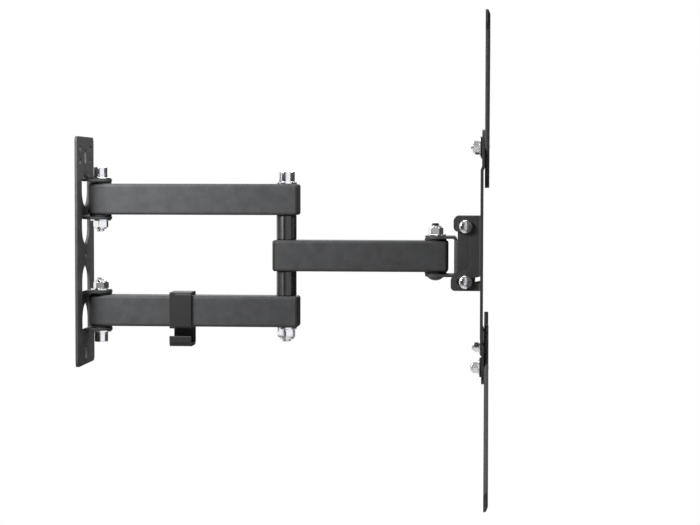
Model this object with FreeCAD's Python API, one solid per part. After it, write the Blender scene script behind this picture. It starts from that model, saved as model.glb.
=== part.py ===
import FreeCAD, Part
import math
import os

V = FreeCAD.Vector

# Frame: the origin is on the back of the wall plate, at the height of the front arm's middle.
# +X runs from the wall to the television, +Y along the wall and +Z up. Millimetres.

# Wall plate
WALL_PLATE_THICK = 2.5
WALL_PLATE_WIDTH = 74.0
WALL_PLATE_TOP = 114.3
WALL_PLATE_BOTTOM = -107.0
WALL_PLATE_CORNER_R = 5.0
WALL_BEND_R = 2.0
EAR_WIDTH = 32.0
EAR_OVERHANG = 10.8
LANCE_CLEARANCE = 0.5
GUSSET_CLEARANCE = 0.5
GUSSET_R = 3.2
GUSSET_SINK = 1.9
GUSSET_HOLLOW_D = 4.5
LAG_SLOT_D = 8.5
LAG_SLOT_RUN = 6.0
LAG_SPREAD = 190.0
CENTRE_HOLE_D = 6.5
SMALL_HOLE_D = 6.0
SMALL_HOLE_SPREAD = 45.0
SMALL_HOLE_PITCH = 12.5
SMALL_HOLE_MID_Z = 96.75

# Pivot layout, seen from above
WALL_PIVOT_X = 17.4
REAR_ARM_LENGTH = 181.6
FRONT_ARM_LENGTH = 143.9

# Arm tube
TUBE_HEIGHT = 30.0
TUBE_WIDTH = 25.0
TUBE_WALL = 2.0
TUBE_CORNER_R = 3.0
TUBE_INNER_R = 1.5
REAR_ARM_MID_Z = 54.0
NOSE_OVERHANG = 12.5
ELBOW_OVERHANG = 12.6
HEAD_OVERHANG = 12.3
CAP_LIP = 3.0
CAP_EDGE_R = 2.4
CAP_TONGUE = 9.0
CAP_TONGUE_THICK = 1.5
CAP_CLEARANCE = 0.15
CAP_TO_BUSH = 0.3

# Pivot hardware
FRICTION_THICK = 2.0
FRICTION_D = 21.0
HOLE_CLEARANCE = 0.5
THREAD_CLEARANCE = 0.2
M8 = 8.0
M10 = 10.0
M6 = 6.0
M8_HEAD_D = 13.0
M8_HEAD_H = 8.0
M8_SOCKET_AF = 6.0
M8_WASHER_D = 20.0
M8_WASHER_T = 1.6
M8_SPRING_D = 13.4
M8_SPRING_T = 2.0
M8_NUT_AF = 13.0
M8_NUT_H = 8.0
M10_HEAD_D = 16.0
M10_HEAD_H = 10.0
M10_SOCKET_AF = 8.0
M10_WASHER_D = 20.0
M10_WASHER_T = 2.0
M10_NUT_AF = 17.0
M10_NUT_H = 10.0
M6_NUT_AF = 10.0
M6_NUT_H = 6.0
THREAD_STICKOUT = 2.5
WASHER_EDGE = 0.3
HEAD_EDGE_R = 0.8
TIP_CHAMFER = 0.8
SPRING_GAP = 1.2
SPRING_GAP_DEG = 25.0
M8_BUSH_D = 15.0
M10_BUSH_D = 17.0
SLEEVE_D = 19.5
SLEEVE_CHAMFER = 0.8

# Shares of its own size that every lock nut and every pan head keeps
NUT_HEX_SHARE = 0.8
NUT_COLLAR_SHARE = 0.86
NUT_COLLAR_R_SHARE = 0.12
NUT_CONE_TOP_SHARE = 0.93
NUT_CONE_FOOT_SHARE = 1.9
NUT_CONE_SINK_SHARE = 0.9
PAN_EDGE_SHARE = 0.6
CROSS_LONG_SHARE = 0.42
CROSS_THIN_SHARE = 0.1
CROSS_DEPTH_SHARE = 0.55

# How far a cutting tool runs past the sheet it cuts, and the flat left on a full rounding
OVERSHOOT = 1.0
TINY = 0.01

# Swivel bracket
BRACKET_THICK = 2.5
BRACKET_BEND_R = 1.5
HEAD_EAR_OVERHANG = 10.0
HEAD_EAR_WIDTH = 29.0
WEB_SETBACK = 18.1
BRACKET_WIDTH = 48.0
BRACKET_STRIP_R = 8.3
BRACKET_STRIP_FORWARD = 0.7
CARRIAGE_HEAD_D = 16.5
CARRIAGE_HEAD_H = 4.0

# Tilt joint between bracket and face plate
TILT_AXIS_FORWARD = 29.1
TILT_AXIS_Z = 29.0
TILT_SLOT_RADIUS = 52.3
TILT_SLOT_UP_DEG = 5.7
TILT_SLOT_CLEARANCE = 0.6
TILT_WASHER_T = 1.0
TILT_WASHER_D = 14.0
TILT_HEAD_D = 13.0
TILT_HEAD_H = 4.6

# Face plate
FACE_PLATE_SIZE = 230.0
FACE_PLATE_THICK = 2.5
FACE_PLATE_CORNER_R = 12.0
FACE_PLATE_MID_Z = 3.5
FACE_PLATE_SETBACK = 14.0
FACE_BEND_R = 1.5
JOGGLE_DEPTH = 1.3
JOGGLE_HALF = 79.0
JOGGLE_RUN = 3.0
FLANGE_TOP = 38.6
FLANGE_BOTTOM = -31.8
FLANGE_LOBE_BACK = 11.5
FLANGE_LOBE_DROP = 14.3
FLANGE_LOBE_R = 4.3
FLANGE_WAIST_FORWARD = 3.9
FLANGE_WAIST_LOW = -10.2
FLANGE_WAIST_R = 5.5
FLANGE_FOOT_BACK = 14.0
FLANGE_FOOT_TOP = -19.3
FLANGE_FOOT_R = 4.0
JOGGLE_R = 3.0
VESA_SMALL = 75.0
VESA_MIDDLE = 100.0
VESA_HOLE_D = 5.5

# Extension arms
VESA = 400.0
ADAPTER_BOLT_SPACING = 200.0
ADAPTER_WIDTH = 26.0
ADAPTER_THICK = 1.5
ADAPTER_DEPTH = 4.1
ADAPTER_BEND_R = 1.2
ADAPTER_INNER = 99.0
ADAPTER_OUTER_OVERHANG = 11.0
ADAPTER_SLOT_D = 8.5
ADAPTER_SLOT_RUN = 28.0
ADAPTER_SLOT_GAP = 16.0
ADAPTER_FLANGE_CUT = 9.0
ADAPTER_FLANGE_R = 1.5
ADAPTER_FLANGE_INNER_R = 3.8
ADAPTER_INNER_R = 4.0
ADAPTER_OUTER_R = 7.0
M6_COVER_D = 18.0
M6_COVER_T = 1.6
M6_WASHER_D = 14.0
M6_WASHER_T = 1.2
M6_DOME_D = 14.0
M6_DOME_H = 2.8

# Cable clip on the lower arm
CLIP_MID_X = 97.5
CLIP_LENGTH = 21.0
CLIP_WALL = 2.4
CLIP_SADDLE = 3.2
CLIP_FLOOR = 1.6
CLIP_CLEARANCE = 0.15
CLIP_HOOK_DROP = 17.3
CLIP_HOOK_WALL = 2.4
CLIP_HOOK_R = 5.0
CLIP_LIP_R = 1.0
CLIP_LIP_RISE = 10.2
CLIP_STEP = 0.8
CLIP_STEP_LENGTH = 6.0

# Worked out from the values above
GUSSET_REACH = WALL_PIVOT_X - M8_WASHER_D / 2 - WALL_PLATE_THICK - GUSSET_CLEARANCE
ELBOW_X = WALL_PIVOT_X + REAR_ARM_LENGTH
HEAD_X = ELBOW_X + FRONT_ARM_LENGTH
HALF_TUBE = TUBE_HEIGHT / 2
EAR_GAP = HALF_TUBE + FRICTION_THICK
CAP_RIM = ELBOW_OVERHANG - CAP_LIP - M10_BUSH_D / 2 - CAP_TO_BUSH
WEB_X = HEAD_X + WEB_SETBACK
TILT_X = HEAD_X + TILT_AXIS_FORWARD
TILT_SLOT_Z = TILT_AXIS_Z - TILT_SLOT_RADIUS
FACE_X = TILT_X + FACE_PLATE_SETBACK
FACE_OUTER_X = FACE_X + JOGGLE_DEPTH
ADAPTER_X = FACE_OUTER_X + FACE_PLATE_THICK
FLANGE_IN_Y = BRACKET_WIDTH / 2 + TILT_WASHER_T
FLANGE_OUT_Y = FLANGE_IN_Y + FACE_PLATE_THICK
ADAPTER_BOLT_U = ADAPTER_BOLT_SPACING / math.sqrt(2)
VESA_U = VESA / math.sqrt(2)


# Maps from drawing coordinates to space
def plan(z):
    return lambda u, v: V(u, v, z)


def side(y):
    return lambda u, v: V(u, y, v)


def front(x):
    return lambda u, v: V(x, u, v)


# A closed outline with a rounding radius at each corner, as a face
def outline(corners, place):
    edges = []
    ends = []
    count = len(corners)
    for i in range(count):
        u, v, radius = corners[i]
        before = corners[i - 1]
        after = corners[(i + 1) % count]
        if radius <= 0:
            ends.append(((u, v), None, (u, v)))
            continue
        a = FreeCAD.Vector(before[0] - u, before[1] - v, 0).normalize()
        b = FreeCAD.Vector(after[0] - u, after[1] - v, 0).normalize()
        half = a.getAngle(b) / 2
        reach = radius / math.tan(half)
        middle = (a + b).normalize() * (radius / math.sin(half) - radius)
        start = (u + a.x * reach, v + a.y * reach)
        end = (u + b.x * reach, v + b.y * reach)
        ends.append((start, (u + middle.x, v + middle.y), end))
    for i in range(count):
        start, middle, end = ends[i]
        if middle is not None:
            edges.append(Part.Arc(place(*start), place(*middle), place(*end)).toShape())
        following = ends[(i + 1) % count][0]
        if math.dist(end, following) > 1e-6:
            edges.append(Part.makeLine(place(*end), place(*following)))
    return Part.Face(Part.Wire(edges))


def block(x0, x1, y0, y1, z0, z1):
    return Part.makeBox(x1 - x0, y1 - y0, z1 - z0, V(x0, y0, z0))


def pin_z(x, z0, z1, diameter, y=0.0):
    return Part.makeCylinder(diameter / 2, z1 - z0, V(x, y, z0), V(0, 0, 1))


def pin_x(y, z, x0, x1, diameter):
    return Part.makeCylinder(diameter / 2, x1 - x0, V(x0, y, z), V(1, 0, 0))


def pin_y(x, z, y0, y1, diameter):
    return Part.makeCylinder(diameter / 2, y1 - y0, V(x, y0, z), V(0, 1, 0))


def mirror_z(shape):
    return shape.mirror(V(0, 0, 0), V(0, 0, 1))


def mirror_y(shape):
    return shape.mirror(V(0, 0, 0), V(0, 1, 0))


# Turn a piece drawn along +Z from the origin so that it points along a direction
def aim(shape, base, direction):
    turned = shape.copy()
    turned.Placement = FreeCAD.Placement(base, FreeCAD.Rotation(V(0, 0, 1), direction))
    return turned


# Ring standing on z = 0, with both outer rims broken when a chamfer is given
def ring(outer_d, inner_d, height, chamfer=0.0):
    body = Part.makeCylinder(outer_d / 2, height)
    if chamfer:
        rims = [e for e in body.Edges if e.BoundBox.ZLength < height / 2]
        body = body.makeChamfer(chamfer, rims)
    return body.cut(Part.makeCylinder(inner_d / 2, height))


def hexagon(across_flats, height):
    corner = across_flats / math.sqrt(3)
    turns = [k * math.pi / 3 for k in range(7)]
    points = [V(corner * math.cos(turn), corner * math.sin(turn), 0) for turn in turns]
    return Part.Face(Part.makePolygon(points)).extrude(V(0, 0, height))


# Socket head screw: the bearing face of the head is at z = 0 and the shank points down
def socket_screw(size, head_d, head_h, socket_af, length):
    head = Part.makeCylinder(head_d / 2, head_h)
    head = head.makeFillet(HEAD_EDGE_R, [e for e in head.Edges if e.BoundBox.ZMin > head_h - TINY])
    socket = hexagon(socket_af, head_h / 2)
    socket.translate(V(0, 0, head_h / 2))
    shank = Part.makeCylinder(size / 2, length, V(0, 0, -length))
    tip = [e for e in shank.Edges if e.BoundBox.ZMax < -length + TINY]
    return head.cut(socket).fuse(shank.makeChamfer(TIP_CHAMFER, tip)).removeSplitter()


# Lock nut: bearing face at z = 0, chamfered hexagon below a round collar
def lock_nut(size, across_flats, height):
    body_h = height * NUT_HEX_SHARE
    corner = across_flats / math.sqrt(3)
    sink = body_h * NUT_CONE_SINK_SHARE
    foot = corner * NUT_CONE_FOOT_SHARE
    cone = Part.makeCone(foot, corner * NUT_CONE_TOP_SHARE, body_h + sink, V(0, 0, -sink))
    collar = Part.makeCylinder(across_flats * NUT_COLLAR_SHARE / 2, height)
    rim = [e for e in collar.Edges if e.BoundBox.ZMin > height - TINY]
    collar = collar.makeFillet(height * NUT_COLLAR_R_SHARE, rim)
    body = hexagon(across_flats, body_h).common(cone).fuse(collar)
    return body.cut(Part.makeCylinder(size / 2 + THREAD_CLEARANCE / 2, height)).removeSplitter()


def spring_washer(outer_d, inner_d, thick):
    gap = Part.makeBox(outer_d, SPRING_GAP, thick * 2, V(0, -SPRING_GAP / 2, -thick / 2))
    gap.rotate(V(outer_d / 2, 0, thick / 2), V(1, 0, 0), SPRING_GAP_DEG)
    return ring(outer_d, inner_d, thick).cut(gap)


# Low domed head with its flat face at z = 0, pointing up
def dome(diameter, height):
    radius = (diameter * diameter / 4 + height * height) / (2 * height)
    ball = Part.makeSphere(radius, V(0, 0, height - radius))
    return ball.common(Part.makeCylinder(diameter / 2, height))


# Pan head with a cross recess, head above z = 0 and shank below
def cross_screw(size, head_d, head_h, length):
    pan = Part.makeCylinder(head_d / 2, head_h)
    rim = [e for e in pan.Edges if e.BoundBox.ZMin > head_h - TINY]
    pan = pan.makeFillet(head_h * PAN_EDGE_SHARE, rim)
    arm_long = head_d * CROSS_LONG_SHARE
    arm_thin = head_d * CROSS_THIN_SHARE
    depth = head_h * CROSS_DEPTH_SHARE
    for along, across in ((arm_long, arm_thin), (arm_thin, arm_long)):
        pan = pan.cut(Part.makeBox(along, across, depth, V(-along / 2, -across / 2, head_h - depth)))
    shank = Part.makeCylinder(size / 2, length, V(0, 0, -length))
    return pan.fuse(shank).removeSplitter()


# One ear folded out of the wall plate, with its bend, seen as the upper one of a pair
def wall_ear(bottom):
    top = bottom + WALL_PLATE_THICK
    half = EAR_WIDTH / 2
    start = WALL_PLATE_THICK + WALL_BEND_R
    tip = WALL_PIVOT_X + EAR_OVERHANG
    ear = outline([(start, -half, 0), (tip, -half, half - TINY), (tip, half, half - TINY),
                   (start, half, 0)], plan(bottom)).extrude(V(0, 0, WALL_PLATE_THICK))
    centre = V(start, -half, top + WALL_BEND_R)
    outer = Part.makeCylinder(WALL_BEND_R + WALL_PLATE_THICK, EAR_WIDTH, centre, V(0, 1, 0))
    inner = Part.makeCylinder(WALL_BEND_R, EAR_WIDTH, centre, V(0, 1, 0))
    quarter = block(0, start, -half, half, bottom, top + WALL_BEND_R)
    return ear.fuse(outer.cut(inner).common(quarter))


# The opening that an ear leaves in the sheet: its own blank, unfolded
def lance_opening(bottom):
    fold = bottom + WALL_PLATE_THICK + WALL_BEND_R
    bend_length = math.pi / 2 * (WALL_BEND_R + WALL_PLATE_THICK / 2)
    flat = WALL_PIVOT_X + EAR_OVERHANG - WALL_PLATE_THICK - WALL_BEND_R
    low = fold - bend_length - flat
    half = EAR_WIDTH / 2 + LANCE_CLEARANCE
    face = outline([(-half, fold, 0), (-half, low, half - TINY), (half, low, half - TINY), (half, fold, 0)],
                   front(0))
    return face.extrude(V(WALL_PLATE_THICK, 0, 0))


# A dart pressed across the bend to stiffen the ear, raised in front and hollow behind
def gusset(bottom):
    corner = V(WALL_PLATE_THICK, 0, bottom + WALL_PLATE_THICK)
    along = V(1, 0, -1).normalize()
    start = corner + V(0, 0, GUSSET_REACH) - along * GUSSET_R
    length = GUSSET_REACH * math.sqrt(2) + 2 * GUSSET_R
    inward = V(-1, 0, -1).normalize()
    ridge = Part.makeCylinder(GUSSET_R, length, start + inward * GUSSET_SINK, along)
    room = block(WALL_PLATE_THICK / 2, WALL_PLATE_THICK + GUSSET_REACH, -GUSSET_R, GUSSET_R,
                 corner.z - WALL_PLATE_THICK / 2, corner.z + GUSSET_REACH)
    behind = start + inward * (GUSSET_SINK + WALL_PLATE_THICK)
    hollow = Part.makeCylinder(GUSSET_HOLLOW_D / 2, length, behind, along)
    return ridge.common(room), hollow


def wall_plate():
    half = WALL_PLATE_WIDTH / 2
    r = WALL_PLATE_CORNER_R
    sheet = outline([(-half, WALL_PLATE_BOTTOM, r), (half, WALL_PLATE_BOTTOM, r),
                     (half, WALL_PLATE_TOP, r), (-half, WALL_PLATE_TOP, r)],
                    front(0)).extrude(V(WALL_PLATE_THICK, 0, 0))
    upper_ear = REAR_ARM_MID_Z + EAR_GAP
    lower_ear = REAR_ARM_MID_Z - EAR_GAP - WALL_PLATE_THICK
    ears = []
    openings = []
    for bottom in (upper_ear, lower_ear):
        ears.append(wall_ear(bottom))
        openings.append(lance_opening(bottom))
    ridge, hollow = gusset(upper_ear)
    ears.append(ridge)
    tools = [pin_z(WALL_PIVOT_X, lower_ear, upper_ear + WALL_PLATE_THICK, M8 + HOLE_CLEARANCE), hollow]
    sheet = sheet.cut(Part.Compound(openings + [mirror_z(s) for s in openings]))
    plate = sheet.fuse(ears + [mirror_z(s) for s in ears])
    through = WALL_PLATE_THICK + OVERSHOOT
    for y in (-SMALL_HOLE_SPREAD / 2, SMALL_HOLE_SPREAD / 2):
        for z in (-SMALL_HOLE_PITCH / 2, SMALL_HOLE_PITCH / 2):
            tools.append(pin_x(y, SMALL_HOLE_MID_Z + z, -OVERSHOOT, through, SMALL_HOLE_D))
    tools.append(pin_x(0, 0, -OVERSHOOT, through, CENTRE_HOLE_D))
    for z in (-LAG_SPREAD / 2, LAG_SPREAD / 2):
        low, high = z - LAG_SLOT_RUN / 2, z + LAG_SLOT_RUN / 2
        tools.append(pin_x(0, low, -OVERSHOOT, through, LAG_SLOT_D))
        tools.append(pin_x(0, high, -OVERSHOOT, through, LAG_SLOT_D))
        tools.append(block(-OVERSHOOT, through, -LAG_SLOT_D / 2, LAG_SLOT_D / 2, low, high))
    plate = plate.cut(tools + [mirror_z(s) for s in tools[:2]])
    return plate.removeSplitter()


# Fasteners of the two wall pivots: the lower set is the upper one turned over
def wall_pivot_parts():
    ear_top = REAR_ARM_MID_Z + EAR_GAP + WALL_PLATE_THICK
    ear_low = REAR_ARM_MID_Z - EAR_GAP - WALL_PLATE_THICK
    x = WALL_PIVOT_X
    up = V(0, 0, 1)
    seat = ear_top + M8_WASHER_T + M8_SPRING_T
    nut_face = ear_low - M8_WASHER_T
    length = seat - (nut_face - M8_NUT_H - THREAD_STICKOUT)
    flat = ring(M8_WASHER_D, M8 + HOLE_CLEARANCE, M8_WASHER_T, WASHER_EDGE)
    friction = ring(FRICTION_D, M8 + HOLE_CLEARANCE, FRICTION_THICK, WASHER_EDGE)
    screw = socket_screw(M8, M8_HEAD_D, M8_HEAD_H, M8_SOCKET_AF, length)
    groups = {
        "wall_pivot_screws": [aim(screw, V(x, 0, seat), up)],
        "wall_spring_washers": [aim(spring_washer(M8_SPRING_D, M8 + HOLE_CLEARANCE, M8_SPRING_T),
                                    V(x, 0, ear_top + M8_WASHER_T), up)],
        "wall_flat_washers": [aim(flat, V(x, 0, ear_top), up), aim(flat, V(x, 0, nut_face), up)],
        "wall_lock_nuts": [aim(lock_nut(M8, M8_NUT_AF, M8_NUT_H), V(x, 0, nut_face), -up)],
        "wall_friction_washers": [aim(friction, V(x, 0, REAR_ARM_MID_Z + HALF_TUBE), up),
                                  aim(friction, V(x, 0, REAR_ARM_MID_Z - EAR_GAP), up)],
    }
    return {name: solids + [mirror_z(s) for s in solids] for name, solids in groups.items()}


# Rear arm: a tube whose wall end is closed in a half-round nose and whose elbow end is open
def rear_arm(mid_z):
    end = ELBOW_X + ELBOW_OVERHANG - CAP_LIP
    nose = WALL_PIVOT_X - NOSE_OVERHANG

    def bar(inset, stop, rim_r):
        half = TUBE_WIDTH / 2 - inset
        low = mid_z - HALF_TUBE + inset
        shape = outline([(nose + inset, -half, half - TINY), (stop, -half, 0), (stop, half, 0),
                         (nose + inset, half, half - TINY)],
                        plan(low)).extrude(V(0, 0, TUBE_HEIGHT - 2 * inset))
        rims = [e for e in shape.Edges if e.BoundBox.ZLength < TINY and e.BoundBox.XMin < stop - TINY]
        return shape.makeFillet(rim_r, rims)

    arm = bar(0, end, TUBE_CORNER_R).cut(bar(TUBE_WALL, end + OVERSHOOT, TUBE_INNER_R))
    low, high = mid_z - HALF_TUBE - OVERSHOOT, mid_z + HALF_TUBE + OVERSHOOT
    holes = [pin_z(WALL_PIVOT_X, low, high, M8 + HOLE_CLEARANCE),
             pin_z(ELBOW_X, low, high, M10 + HOLE_CLEARANCE)]
    return arm.cut(holes)


def tube_bar(x0, x1, inset, radius):
    half_y = TUBE_WIDTH / 2 - inset
    half_z = HALF_TUBE - inset
    return outline([(-half_y, -half_z, radius), (half_y, -half_z, radius), (half_y, half_z, radius),
                    (-half_y, half_z, radius)], front(x0)).extrude(V(x1 - x0, 0, 0))


def front_arm():
    x0 = ELBOW_X - ELBOW_OVERHANG + CAP_LIP
    x1 = HEAD_X + HEAD_OVERHANG - CAP_LIP
    arm = tube_bar(x0, x1, 0, TUBE_CORNER_R).cut(tube_bar(x0, x1, TUBE_WALL, TUBE_INNER_R))
    z = HALF_TUBE + OVERSHOOT
    return arm.cut([pin_z(ELBOW_X, -z, z, M10 + HOLE_CLEARANCE), pin_z(HEAD_X, -z, z, M8 + HOLE_CLEARANCE)])


# Plastic end cap for a tube that ends at x = 0 and runs towards -X, with two tongues beside the bush
def end_cap():
    lip = tube_bar(0, CAP_LIP, 0, TUBE_CORNER_R)
    lip = lip.makeFillet(CAP_EDGE_R, [e for e in lip.Edges if e.BoundBox.XMin > CAP_LIP - TINY])
    inset = TUBE_WALL + CAP_CLEARANCE
    rim = tube_bar(-CAP_RIM, 0, inset, TUBE_INNER_R)
    half_y = TUBE_WIDTH / 2 - inset
    half_z = HALF_TUBE - TUBE_CORNER_R - TUBE_WALL
    tongue = block(-CAP_TONGUE, 0, half_y - CAP_TONGUE_THICK, half_y, -half_z, half_z)
    return lip.fuse([rim, tongue, mirror_y(tongue)]).removeSplitter()


def end_caps_rear():
    cap = end_cap()
    x = ELBOW_X + ELBOW_OVERHANG - CAP_LIP
    return [aim(cap, V(x, 0, z), V(0, 0, 1)) for z in (REAR_ARM_MID_Z, -REAR_ARM_MID_Z)]


def front_elbow_cap():
    cap = end_cap().mirror(V(0, 0, 0), V(1, 0, 0))
    cap.translate(V(ELBOW_X - ELBOW_OVERHANG + CAP_LIP, 0, 0))
    return [cap]


def front_head_cap():
    cap = end_cap()
    cap.translate(V(HEAD_X + HEAD_OVERHANG - CAP_LIP, 0, 0))
    return [cap]


# Spacer bushes inside the tubes keep the walls apart when the pivots are tightened
def tube_bush(x, mid_z, outer_d, screw_d):
    bush = ring(outer_d, screw_d + HOLE_CLEARANCE, TUBE_HEIGHT - 2 * TUBE_WALL)
    bush.translate(V(x, 0, mid_z - HALF_TUBE + TUBE_WALL))
    return bush


def elbow_parts():
    x = ELBOW_X
    up = V(0, 0, 1)
    top = REAR_ARM_MID_Z + HALF_TUBE
    seat = top + M10_WASHER_T
    length = 2 * seat + M10_NUT_H + THREAD_STICKOUT
    washer = ring(M10_WASHER_D, M10 + HOLE_CLEARANCE, M10_WASHER_T, WASHER_EDGE)
    sleeve = ring(SLEEVE_D, M10 + HOLE_CLEARANCE, REAR_ARM_MID_Z - TUBE_HEIGHT, SLEEVE_CHAMFER)
    screw = socket_screw(M10, M10_HEAD_D, M10_HEAD_H, M10_SOCKET_AF, length)
    return {
        "elbow_screw": [aim(screw, V(x, 0, seat), up)],
        "elbow_washers": [aim(washer, V(x, 0, top), up), aim(washer, V(x, 0, -seat), up)],
        "elbow_lock_nut": [aim(lock_nut(M10, M10_NUT_AF, M10_NUT_H), V(x, 0, -seat), -up)],
        "upper_spacer_sleeve": [aim(sleeve, V(x, 0, HALF_TUBE), up)],
        "lower_spacer_sleeve": [aim(sleeve, V(x, 0, HALF_TUBE - REAR_ARM_MID_Z), up)],
    }


def head_pivot_parts():
    x = HEAD_X
    up = V(0, 0, 1)
    ear_out = EAR_GAP + BRACKET_THICK
    nut_face = ear_out + M8_WASHER_T
    tip = nut_face + M8_NUT_H + THREAD_STICKOUT
    bolt = aim(dome(CARRIAGE_HEAD_D, CARRIAGE_HEAD_H), V(x, 0, -ear_out), -up)
    neck = block(x - M8 / 2, x + M8 / 2, -M8 / 2, M8 / 2, -ear_out, -EAR_GAP)
    bolt = bolt.fuse([neck, pin_z(x, -ear_out, tip, M8)]).removeSplitter()
    friction = ring(FRICTION_D, M8 + HOLE_CLEARANCE, FRICTION_THICK, WASHER_EDGE)
    flat = ring(M8_WASHER_D, M8 + HOLE_CLEARANCE, M8_WASHER_T, WASHER_EDGE)
    return {
        "head_carriage_bolt": [bolt],
        "head_friction_washers": [aim(friction, V(x, 0, HALF_TUBE), up),
                                  aim(friction, V(x, 0, -EAR_GAP), up)],
        "head_flat_washer": [aim(flat, V(x, 0, ear_out), up)],
        "head_lock_nut": [aim(lock_nut(M8, M8_NUT_AF, M8_NUT_H), V(x, 0, nut_face), up)],
    }


# Swivel bracket: a channel open to the front, with an ear folded back from each end of its web
def swivel_bracket():
    t = BRACKET_THICK
    r = BRACKET_BEND_R
    half = BRACKET_WIDTH / 2
    strip_front = TILT_X + BRACKET_STRIP_R + BRACKET_STRIP_FORWARD
    strip_back = strip_front - 2 * BRACKET_STRIP_R
    top = TILT_AXIS_Z + BRACKET_STRIP_R
    bottom = TILT_SLOT_Z - BRACKET_STRIP_R
    channel = outline([(WEB_X, -half, r + t), (strip_front, -half, 0), (strip_front, -half + t, 0),
                       (WEB_X + t, -half + t, r), (WEB_X + t, half - t, r), (strip_front, half - t, 0),
                       (strip_front, half, 0), (WEB_X, half, r + t)],
                      plan(bottom)).extrude(V(0, 0, top - bottom))
    web_half = EAR_GAP - r
    lobe = BRACKET_STRIP_R - TINY
    shape = outline([(WEB_X, -web_half, 0), (strip_back, -web_half, 0), (strip_back, bottom, lobe),
                     (strip_front, bottom, lobe), (strip_front, top, lobe), (strip_back, top, lobe),
                     (strip_back, web_half, 0), (WEB_X, web_half, 0)],
                    side(-half)).extrude(V(0, 2 * half, 0))
    bracket = channel.common(shape)
    ear_half = HEAD_EAR_WIDTH / 2
    tip = HEAD_X - HEAD_EAR_OVERHANG
    fold = WEB_X - r
    ear = outline([(tip, -ear_half, ear_half - TINY), (fold, -ear_half, 0), (fold, ear_half, 0),
                   (tip, ear_half, ear_half - TINY)], plan(EAR_GAP)).extrude(V(0, 0, t))
    centre = V(fold, -ear_half, web_half)
    outer = Part.makeCylinder(r + t, HEAD_EAR_WIDTH, centre, V(0, 1, 0))
    inner = Part.makeCylinder(r, HEAD_EAR_WIDTH, centre, V(0, 1, 0))
    quarter = block(fold, WEB_X + t, -ear_half, ear_half, web_half, EAR_GAP + t)
    fold_piece = outer.cut(inner).common(quarter)
    bracket = bracket.fuse([ear, fold_piece, mirror_z(ear), mirror_z(fold_piece)])
    square = (M8 + HOLE_CLEARANCE) / 2
    tools = [pin_z(HEAD_X, 0, EAR_GAP + t + OVERSHOOT, M8 + HOLE_CLEARANCE),
             block(HEAD_X - square, HEAD_X + square, -square, square, -EAR_GAP - t - OVERSHOOT, 0)]
    for z in (TILT_AXIS_Z, TILT_SLOT_Z):
        tools.append(pin_y(TILT_X, z, -half - OVERSHOOT, half + OVERSHOOT, M6 + HOLE_CLEARANCE))
    return bracket.cut(tools).removeSplitter()


def tilt_parts():
    names = ("tilt_friction_washers", "tilt_pivot_screws", "tilt_slot_screws", "tilt_lock_nuts")
    groups = {name: [] for name in names}
    inside = BRACKET_WIDTH / 2 - BRACKET_THICK
    length = FLANGE_OUT_Y - inside + M6_NUT_H + THREAD_STICKOUT / 2
    screw = cross_screw(M6, TILT_HEAD_D, TILT_HEAD_H, length)
    washer = ring(TILT_WASHER_D, M6 + HOLE_CLEARANCE, TILT_WASHER_T)
    nut = lock_nut(M6, M6_NUT_AF, M6_NUT_H)
    for sign in (-1, 1):
        outward = V(0, sign, 0)
        for z, name in ((TILT_AXIS_Z, "tilt_pivot_screws"), (TILT_SLOT_Z, "tilt_slot_screws")):
            groups[name].append(aim(screw, V(TILT_X, sign * FLANGE_OUT_Y, z), outward))
            washer_y = sign * BRACKET_WIDTH / 2
            groups["tilt_friction_washers"].append(aim(washer, V(TILT_X, washer_y, z), outward))
            groups["tilt_lock_nuts"].append(aim(nut, V(TILT_X, sign * inside, z), -outward))
    return groups


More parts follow.
